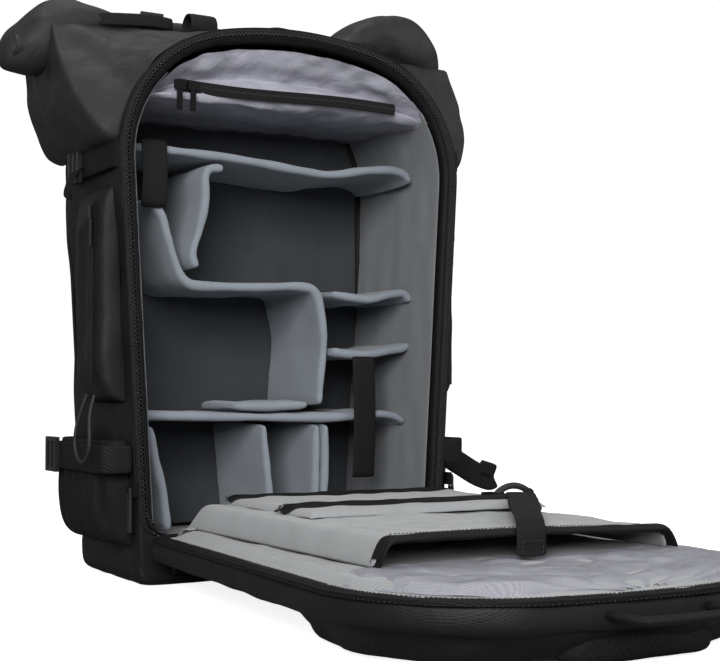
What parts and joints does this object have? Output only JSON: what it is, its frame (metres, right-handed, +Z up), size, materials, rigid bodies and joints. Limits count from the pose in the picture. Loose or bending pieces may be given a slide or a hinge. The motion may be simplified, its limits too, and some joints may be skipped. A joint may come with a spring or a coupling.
{
  "type": "camera backpack",
  "caption": "Roll-top camera backpack, standing, with its hinged back panel open on the floor and padded dividers inside",
  "frame": {"origin": "centre of the base, on the floor", "axes": "+Z up; the opening faces -Y, where the open back panel lies; +X to the right seen from the opening"},
  "size_m": [0.5276, 0.695, 0.561],
  "materials": {
    "shell_fabric": "tight coated weave, slight sheen",
    "roll_fabric": "tight coated weave, matt",
    "zip_tape": "woven tape with a moulded coil",
    "lining_nylon": "thin crinkled nylon",
    "lining_felt": "brushed loop lining",
    "divider_fabric": "brushed loop fabric over foam",
    "webbing": "ribbed webbing",
    "buckle_plastic": "fine texture",
    "zip_metal": "satin black",
    "pull_rubber": "matt",
    "harness_mesh": "spacer mesh over foam",
    "stretch_mesh": "stretch fabric",
    "foam": "closed-cell foam",
    "frame_plastic": "sheet",
    "stay_aluminium": "mill finish",
    "elastic_cord": "braided sheath"
  },
  "bodies": {
    "bag": {"shell": "shell_fabric", "front_gusset": "shell_fabric", "shell_zip": "zip_tape", "base_boot": "shell_fabric", "hinge_strip": "shell_fabric", "back_wall_pad": "lining_felt", "left_wall_pad": "lining_felt", "right_wall_pad": "lining_felt", "floor_pad": "lining_felt", "top_liner": "lining_nylon", "liner_zip": "zip_tape", "top_shelf": "divider_fabric", "mid_shelf": "divider_fabric", "stepped_divider": "divider_fabric", "folded_pad": "divider_fabric", "short_divider": "divider_fabric", "right_shelf_upper": "divider_fabric", "right_shelf_lower": "divider_fabric", "lower_divider_left": "divider_fabric", "lower_divider_mid": "divider_fabric", "lower_divider_right": "divider_fabric", "inner_strap_left": "webbing", "inner_strap_right": "webbing", "roll_collar": "roll_fabric", "roll_bundle": "roll_fabric", "roll_end_flaps": "roll_fabric", "top_strap": "webbing", "roll_buckles": "buckle_plastic", "side_pockets": "shell_fabric", "side_zips": "zip_tape", "bottle_pockets": "stretch_mesh", "side_straps": "webbing", "side_ladder_locks": "buckle_plastic", "pocket_cord": "elastic_cord"},
    "panel": {"panel_shell": "shell_fabric", "panel_foam": "foam", "frame_sheet": "frame_plastic", "frame_stays": "stay_aluminium", "panel_lining": "lining_felt", "panel_zip": "zip_tape", "laptop_sleeve": "lining_felt", "sleeve_lining": "lining_nylon", "panel_pocket": "lining_felt", "back_pads": "harness_mesh", "yoke": "harness_mesh"},
    "top_loop": {"top_loop": "webbing"},
    "side_slider_right": {"side_slider_right": "buckle_plastic"},
    "side_slider_left": {"side_slider_left": "buckle_plastic"},
    "main_slider_left": {"main_slider_left": "zip_metal"},
    "main_slider_right": {"main_slider_right": "zip_metal"},
    "main_pull_left": {"main_pull_left": "pull_rubber"},
    "main_pull_right": {"main_pull_right": "pull_rubber"},
    "liner_sliders": {"liner_sliders": "zip_metal"},
    "panel_slider": {"panel_slider": "zip_metal"},
    "sleeve_strap": {"sleeve_strap": "webbing"},
    "haul_handle": {"haul_handle": "webbing"},
    "shoulder_strap_left": {"shoulder_strap_left": "harness_mesh"},
    "shoulder_strap_right": {"shoulder_strap_right": "harness_mesh"},
    "hip_wing_left": {"hip_wing_left": "harness_mesh"},
    "hip_wing_right": {"hip_wing_right": "harness_mesh"}
  },
  "joints": [
    {"name": "panel_hinge", "type": "hinge", "parent": "bag", "child": "panel", "pos_m": [0, -0.1045, 0.0325], "axis": [-1, 0, 0], "range_deg": [0, 90]},
    {"name": "main_zip_left", "type": "slide", "parent": "bag", "child": "main_slider_left", "axis": [-0.0593, 0, 0.9982], "range_m": [-0.02, 0.2]},
    {"name": "main_zip_right", "type": "slide", "parent": "bag", "child": "main_slider_right", "axis": [0.0593, 0, 0.9982], "range_m": [-0.02, 0.2]},
    {"name": "main_pull_left_pivot", "type": "hinge", "parent": "main_slider_left", "child": "main_pull_left", "pos_m": [-0.16547, -0.0905, 0.085], "axis": [0, 1, 0], "range_deg": [0, 80]},
    {"name": "main_pull_right_pivot", "type": "hinge", "parent": "main_slider_right", "child": "main_pull_right", "pos_m": [0.16547, -0.0905, 0.085], "axis": [0, -1, 0], "range_deg": [0, 80]},
    {"name": "side_zip_left", "type": "slide", "parent": "bag", "child": "side_slider_left", "axis": [0, 0, -1], "range_m": [0, 0.12]},
    {"name": "side_zip_right", "type": "slide", "parent": "bag", "child": "side_slider_right", "axis": [0, 0, -1], "range_m": [0, 0.12]},
    {"name": "liner_zip_slide", "type": "slide", "parent": "bag", "child": "liner_sliders", "axis": [1, 0, 0], "range_m": [0, 0.2]},
    {"name": "top_loop_fold", "type": "hinge", "parent": "bag", "child": "top_loop", "pos_m": [-0.079, -0.038, 0.503], "axis": [1, 0, 0], "range_deg": [0, 30]},
    {"name": "panel_zip_slide", "type": "slide", "parent": "panel", "child": "panel_slider", "axis": [-1, 0, 0], "range_m": [0, 0.16]},
    {"name": "sleeve_strap_lift", "type": "hinge", "parent": "panel", "child": "sleeve_strap", "pos_m": [0.128, -0.254, 0.0812], "axis": [0.8193, -0.5734, 0], "range_deg": [-100, 0]},
    {"name": "haul_handle_pivot", "type": "hinge", "parent": "panel", "child": "haul_handle", "pos_m": [0, -0.577, 0.034], "axis": [-1, 0, 0], "range_deg": [-60, 60]},
    {"name": "shoulder_strap_left_swing", "type": "hinge", "parent": "panel", "child": "shoulder_strap_left", "pos_m": [-0.04, -0.5275, 0.0055], "axis": [-1, 0, 0], "range_deg": [0, 25]},
    {"name": "shoulder_strap_right_swing", "type": "hinge", "parent": "panel", "child": "shoulder_strap_right", "pos_m": [0.04, -0.5275, 0.0055], "axis": [-1, 0, 0], "range_deg": [0, 25]},
    {"name": "hip_wing_left_fold", "type": "hinge", "parent": "panel", "child": "hip_wing_left", "pos_m": [-0.0985, -0.1415, 0.006], "axis": [0, 1, 0], "range_deg": [0, 165]},
    {"name": "hip_wing_right_fold", "type": "hinge", "parent": "panel", "child": "hip_wing_right", "pos_m": [0.0975, -0.1415, 0.006], "axis": [0, 1, 0], "range_deg": [0, 150]}
  ]
}
